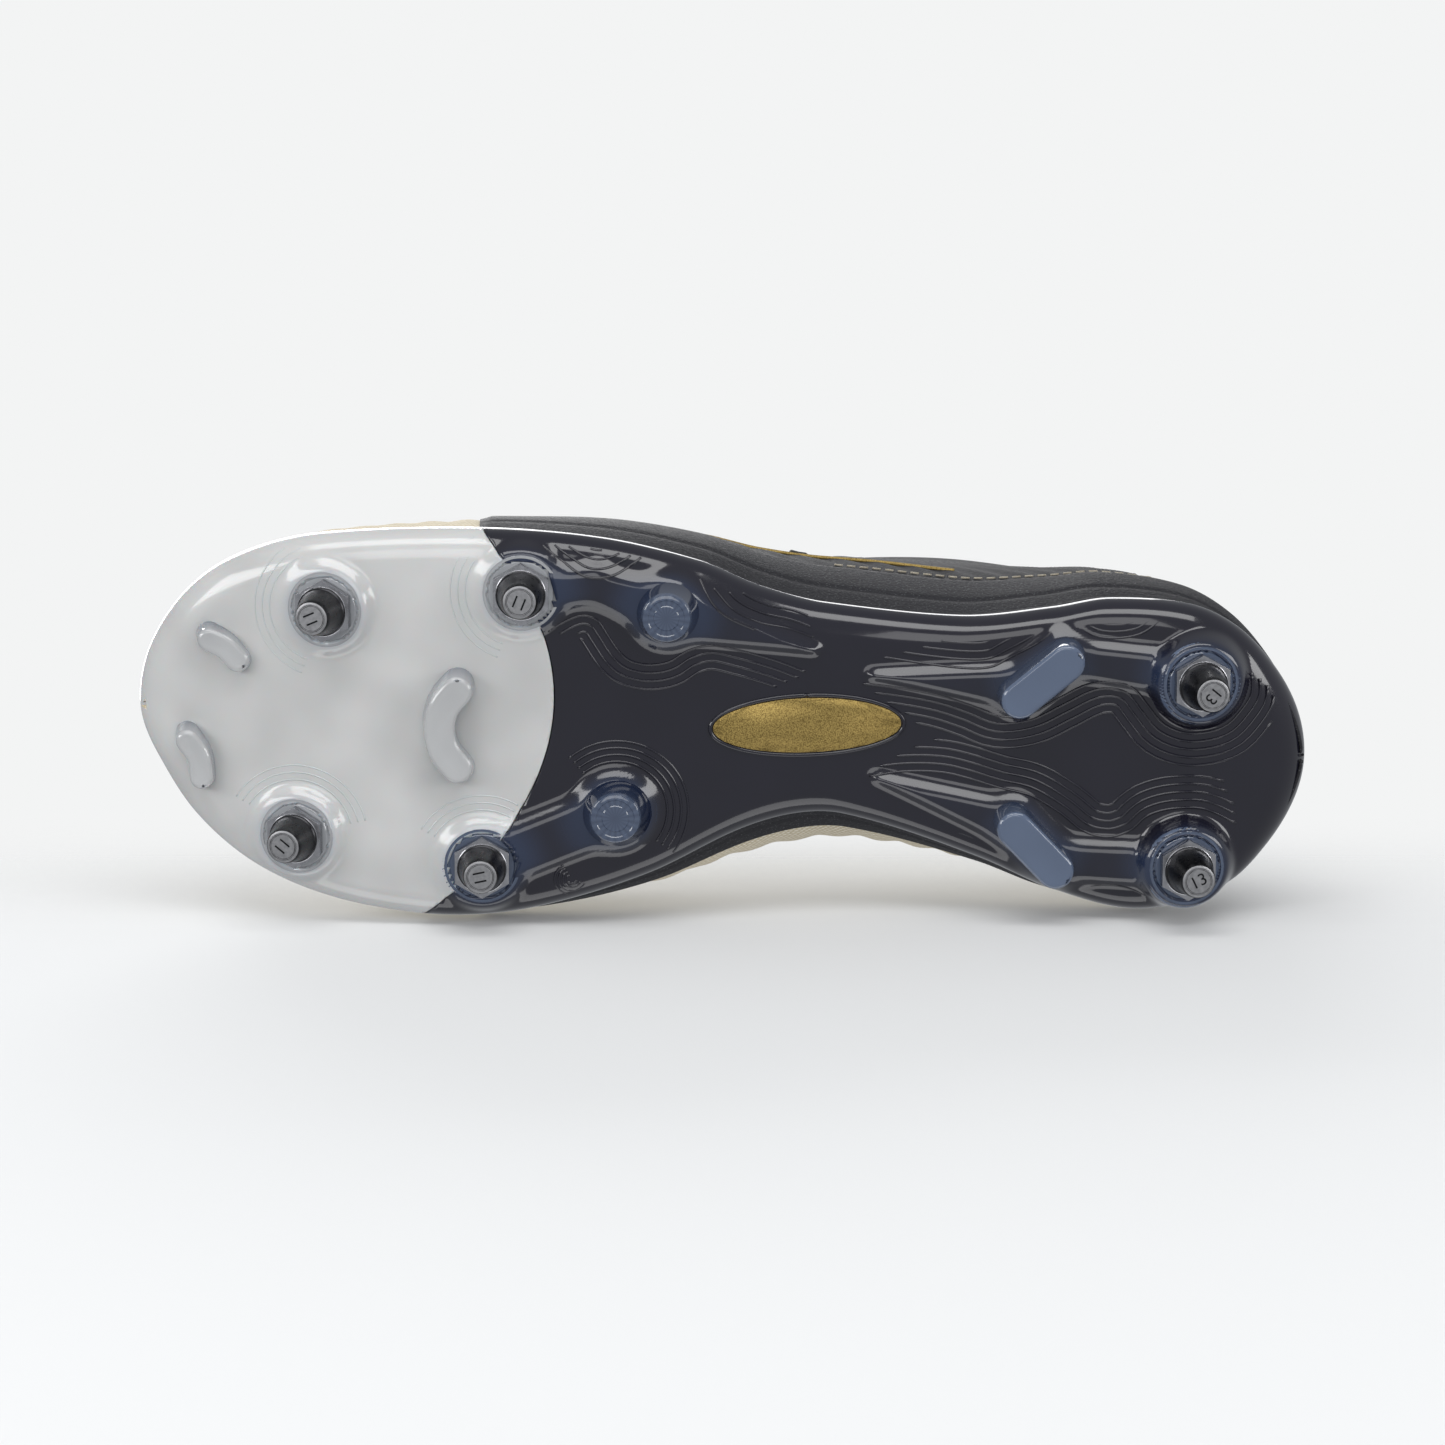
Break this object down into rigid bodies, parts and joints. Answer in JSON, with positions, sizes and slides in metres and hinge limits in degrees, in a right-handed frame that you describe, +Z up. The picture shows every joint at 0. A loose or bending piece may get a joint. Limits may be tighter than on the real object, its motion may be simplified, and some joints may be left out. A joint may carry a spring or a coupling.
{
  "type": "soccer cleat",
  "caption": "Low-cut left soccer cleat for soft ground, with a two-part translucent sole plate, screw-in and moulded studs, and a textile upper.",
  "frame": {"origin": "middle of the shoe's box, on the ground it stands on", "axes": "+Z up, -Y towards the toe, +Y towards the heel, +X towards the outer (lateral) side of the left foot"},
  "size_m": [0.098, 0.2863, 0.1169],
  "materials": {
    "milky_plastic": "gloss",
    "navy_plastic": "gloss",
    "clear_plastic": "gloss",
    "charcoal_rand": "matte",
    "dark_textile": "matte",
    "cream_textile": "matte",
    "lace": "matte",
    "foam": "matte",
    "board": "matte",
    "gold_foil": "satin",
    "steel": "polished",
    "gunmetal": "satin"
  },
  "bodies": {
    "root": {"forefoot_plate": "milky_plastic", "rear_plate": "navy_plastic", "toe_cleat_lateral": "clear_plastic", "toe_cleat_medial": "clear_plastic", "centre_cleat": "clear_plastic", "cone_cleat_lateral": "clear_plastic", "cone_cleat_medial": "clear_plastic", "blade_cleat_lateral": "clear_plastic", "blade_cleat_medial": "clear_plastic", "sole_badge": "gold_foil", "midsole_pad": "foam", "lasting_board": "board", "sockliner": "dark_textile", "vamp": "cream_textile", "quarter_lateral": "dark_textile", "quarter_medial": "cream_textile", "heel_panel": "dark_textile", "rand_lateral": "charcoal_rand", "rand_medial": "charcoal_rand", "toe_puff": "board", "heel_counter": "board", "collar_padding": "dark_textile", "eyestay_lateral": "charcoal_rand", "eyestay_medial": "charcoal_rand", "tongue": "dark_textile", "lace": "lace", "lace_bow": "lace", "heel_tab": "charcoal_rand", "front_lateral_stud_insert": "steel", "front_medial_stud_insert": "steel", "middle_lateral_stud_insert": "steel", "middle_medial_stud_insert": "steel", "heel_lateral_stud_insert": "steel", "heel_medial_stud_insert": "steel"},
    "front_lateral_cone": {"front_lateral_stud_cone": "gunmetal"},
    "front_lateral_base": {"front_lateral_stud_base": "steel"},
    "front_medial_cone": {"front_medial_stud_cone": "gunmetal"},
    "front_medial_base": {"front_medial_stud_base": "steel"},
    "middle_lateral_cone": {"middle_lateral_stud_cone": "gunmetal"},
    "middle_lateral_base": {"middle_lateral_stud_base": "steel"},
    "middle_medial_cone": {"middle_medial_stud_cone": "gunmetal"},
    "middle_medial_base": {"middle_medial_stud_base": "steel"},
    "heel_lateral_cone": {"heel_lateral_stud_cone": "gunmetal"},
    "heel_lateral_base": {"heel_lateral_stud_base": "steel"},
    "heel_medial_cone": {"heel_medial_stud_cone": "gunmetal"},
    "heel_medial_base": {"heel_medial_stud_base": "steel"}
  },
  "joints": [
    {"name": "front_lateral_travel", "type": "slide", "parent": "root", "child": "front_lateral_cone", "axis": [0, -0.225, -0.9744], "range_m": [0, 0.006]},
    {"name": "front_lateral_turn", "type": "hinge", "parent": "front_lateral_cone", "child": "front_lateral_base", "pos_m": [0.0294, -0.0962, 0.0132], "axis": [0, -0.225, -0.9744], "range_deg": [0, 2161]},
    {"name": "front_medial_travel", "type": "slide", "parent": "root", "child": "front_medial_cone", "axis": [0, -0.225, -0.9744], "range_m": [0, 0.006]},
    {"name": "front_medial_turn", "type": "hinge", "parent": "front_medial_cone", "child": "front_medial_base", "pos_m": [-0.0271, -0.104, 0.0136], "axis": [0, -0.225, -0.9744], "range_deg": [0, 2161]},
    {"name": "middle_lateral_travel", "type": "slide", "parent": "root", "child": "middle_lateral_cone", "axis": [0, 0, -1], "range_m": [0, 0.006]},
    {"name": "middle_lateral_turn", "type": "hinge", "parent": "middle_lateral_cone", "child": "middle_lateral_base", "pos_m": [0.0339, -0.0486, 0.011], "axis": [0, 0, -1], "range_deg": [0, 2161]},
    {"name": "middle_medial_travel", "type": "slide", "parent": "root", "child": "middle_medial_cone", "axis": [0, 0, -1], "range_m": [0, 0.006]},
    {"name": "middle_medial_turn", "type": "hinge", "parent": "middle_medial_cone", "child": "middle_medial_base", "pos_m": [-0.034, -0.0586, 0.011], "axis": [0, 0, -1], "range_deg": [0, 2161]},
    {"name": "heel_lateral_travel", "type": "slide", "parent": "root", "child": "heel_lateral_cone", "axis": [0, 0.1392, -0.9903], "range_m": [0, 0.006]},
    {"name": "heel_lateral_turn", "type": "hinge", "parent": "heel_lateral_cone", "child": "heel_lateral_base", "pos_m": [0.0109, 0.1161, 0.01341], "axis": [0, 0.1392, -0.9903], "range_deg": [0, 2161]},
    {"name": "heel_medial_travel", "type": "slide", "parent": "root", "child": "heel_medial_cone", "axis": [0, 0.1392, -0.9903], "range_m": [0, 0.006]},
    {"name": "heel_medial_turn", "type": "hinge", "parent": "heel_medial_cone", "child": "heel_medial_base", "pos_m": [-0.0352, 0.1135, 0.01341], "axis": [0, 0.1392, -0.9903], "range_deg": [0, 2161]}
  ],
  "couplings": [
    {"joint": "front_lateral_turn", "follows": "front_lateral_travel", "rad_per_m": 6283.2},
    {"joint": "front_medial_turn", "follows": "front_medial_travel", "rad_per_m": 6283.2},
    {"joint": "middle_lateral_turn", "follows": "middle_lateral_travel", "rad_per_m": 6283.2},
    {"joint": "middle_medial_turn", "follows": "middle_medial_travel", "rad_per_m": 6283.2},
    {"joint": "heel_lateral_turn", "follows": "heel_lateral_travel", "rad_per_m": 6283.2},
    {"joint": "heel_medial_turn", "follows": "heel_medial_travel", "rad_per_m": 6283.2}
  ]
}
